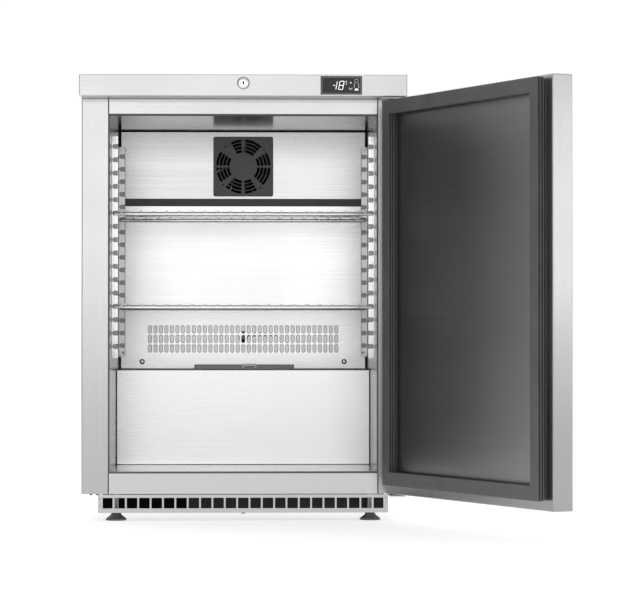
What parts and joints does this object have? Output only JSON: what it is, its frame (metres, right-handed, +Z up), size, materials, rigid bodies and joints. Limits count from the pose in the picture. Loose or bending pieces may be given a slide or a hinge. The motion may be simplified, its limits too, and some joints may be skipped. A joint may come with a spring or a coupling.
{
  "type": "undercounter refrigerator",
  "caption": "Stainless undercounter refrigerated cabinet with one hinged door, wire shelves on notched racks, a fan-cooled evaporator, a plinth grille and levelling feet.",
  "frame": {"origin": "middle of the footprint of the whole object with its door standing open, at floor level; the middle of the worktop lies 122.0 mm towards -X and 256.6 mm towards +Y from it", "axes": "+X to the right for someone facing the open cabinet, +Y from the door side towards the back, +Z up"},
  "size_m": [0.844, 1.1132, 0.82],
  "materials": {
    "stainless": "satin",
    "plinth_steel": "satin",
    "bright_liner": "satin",
    "dark_steel": "satin",
    "shelf_wire": "polished",
    "lock_chrome": "polished",
    "black_plastic": "satin",
    "foot_plastic": "satin",
    "grey_rubber": "matte",
    "foam": "matte",
    "core_board": "matte",
    "copper": "satin",
    "aluminium_fins": "satin",
    "black_paint": "satin",
    "white_plastic": "satin",
    "display_glass": "gloss"
  },
  "bodies": {
    "cabinet": {"base_pan": "stainless", "breaker_strip": "grey_rubber", "compressor": "black_paint", "condenser_coil": "aluminium_fins", "condenser_fan_frame": "black_paint", "controller": "black_plastic", "cover_joint_strip": "grey_rubber", "cover_screw_left": "lock_chrome", "cover_screw_right": "lock_chrome", "discharge_pipe": "copper", "display_window": "display_glass", "drain_tube": "white_plastic", "drip_tray": "bright_liner", "evaporation_tray": "black_plastic", "evaporator_coil": "aluminium_fins", "evaporator_fan_frame": "black_plastic", "fan_cover": "bright_liner", "fan_grille": "black_plastic", "filter_drier": "copper", "front_rail_bottom": "stainless", "front_rail_top": "stainless", "hinge_bottom": "stainless", "hinge_top": "stainless", "insulation_foam": "foam", "liner_back": "bright_liner", "liner_ceiling": "bright_liner", "liner_floor_and_step": "bright_liner", "liner_side_left": "bright_liner", "liner_side_right": "bright_liner", "lock_housing": "lock_chrome", "mains_gland": "black_plastic", "perforated_cover": "bright_liner", "plinth_grille": "plinth_steel", "rack_front_left": "bright_liner", "rack_front_right": "bright_liner", "rack_rear_left": "bright_liner", "rack_rear_right": "bright_liner", "rear_panel": "stainless", "side_panel_left": "stainless", "side_panel_right": "stainless", "suction_pipe": "copper", "terminal_box": "black_plastic", "worktop": "stainless", "worktop_core": "core_board"},
    "door": {"door_skin": "stainless", "door_foam": "foam", "door_inner_panel": "dark_steel", "door_gasket": "grey_rubber", "hinge_bush_top": "white_plastic", "hinge_bush_bottom": "white_plastic"},
    "shelf_upper": {"shelf_upper": "shelf_wire"},
    "shelf_lower": {"shelf_lower": "shelf_wire"},
    "lock_plug": {"lock_cylinder": "lock_chrome", "lock_cam": "lock_chrome"},
    "evaporator_fan": {"evaporator_fan_rotor": "black_plastic"},
    "condenser_fan": {"condenser_fan_rotor": "black_plastic"},
    "foot_front_left": {"foot_front_left": "foot_plastic"},
    "foot_front_right": {"foot_front_right": "foot_plastic"},
    "foot_rear_left": {"foot_rear_left": "foot_plastic"},
    "foot_rear_right": {"foot_rear_right": "foot_plastic"}
  },
  "joints": [
    {"name": "door_hinge", "type": "hinge", "parent": "cabinet", "child": "door", "pos_m": [0.16219, -0.02227, 0.4], "axis": [0, 0, 1], "range_deg": [-114.8, 15]},
    {"name": "shelf_upper_slide", "type": "slide", "parent": "cabinet", "child": "shelf_upper", "axis": [0, -1, 0], "range_m": [0, 0.25]},
    {"name": "shelf_lower_slide", "type": "slide", "parent": "cabinet", "child": "shelf_lower", "axis": [0, -1, 0], "range_m": [0, 0.25]},
    {"name": "lock_turn", "type": "hinge", "parent": "cabinet", "child": "lock_plug", "pos_m": [-0.12201, -0.04337, 0.804], "axis": [0, 1, 0], "range_deg": [0, 90]},
    {"name": "evaporator_fan_spin", "type": "hinge", "parent": "cabinet", "child": "evaporator_fan", "pos_m": [-0.12201, 0.42663, 0.678], "axis": [0, 1, 0], "continuous": true},
    {"name": "condenser_fan_spin", "type": "hinge", "parent": "cabinet", "child": "condenser_fan", "pos_m": [-0.30701, 0.41663, 0.13875], "axis": [0, 1, 0], "continuous": true},
    {"name": "foot_front_left_thread", "type": "slide", "parent": "cabinet", "child": "foot_front_left", "axis": [0, 0, -1], "range_m": [0, 0.02]},
    {"name": "foot_front_right_thread", "type": "slide", "parent": "cabinet", "child": "foot_front_right", "axis": [0, 0, -1], "range_m": [0, 0.02]},
    {"name": "foot_rear_left_thread", "type": "slide", "parent": "cabinet", "child": "foot_rear_left", "axis": [0, 0, -1], "range_m": [0, 0.02]},
    {"name": "foot_rear_right_thread", "type": "slide", "parent": "cabinet", "child": "foot_rear_right", "axis": [0, 0, -1], "range_m": [0, 0.02]}
  ]
}
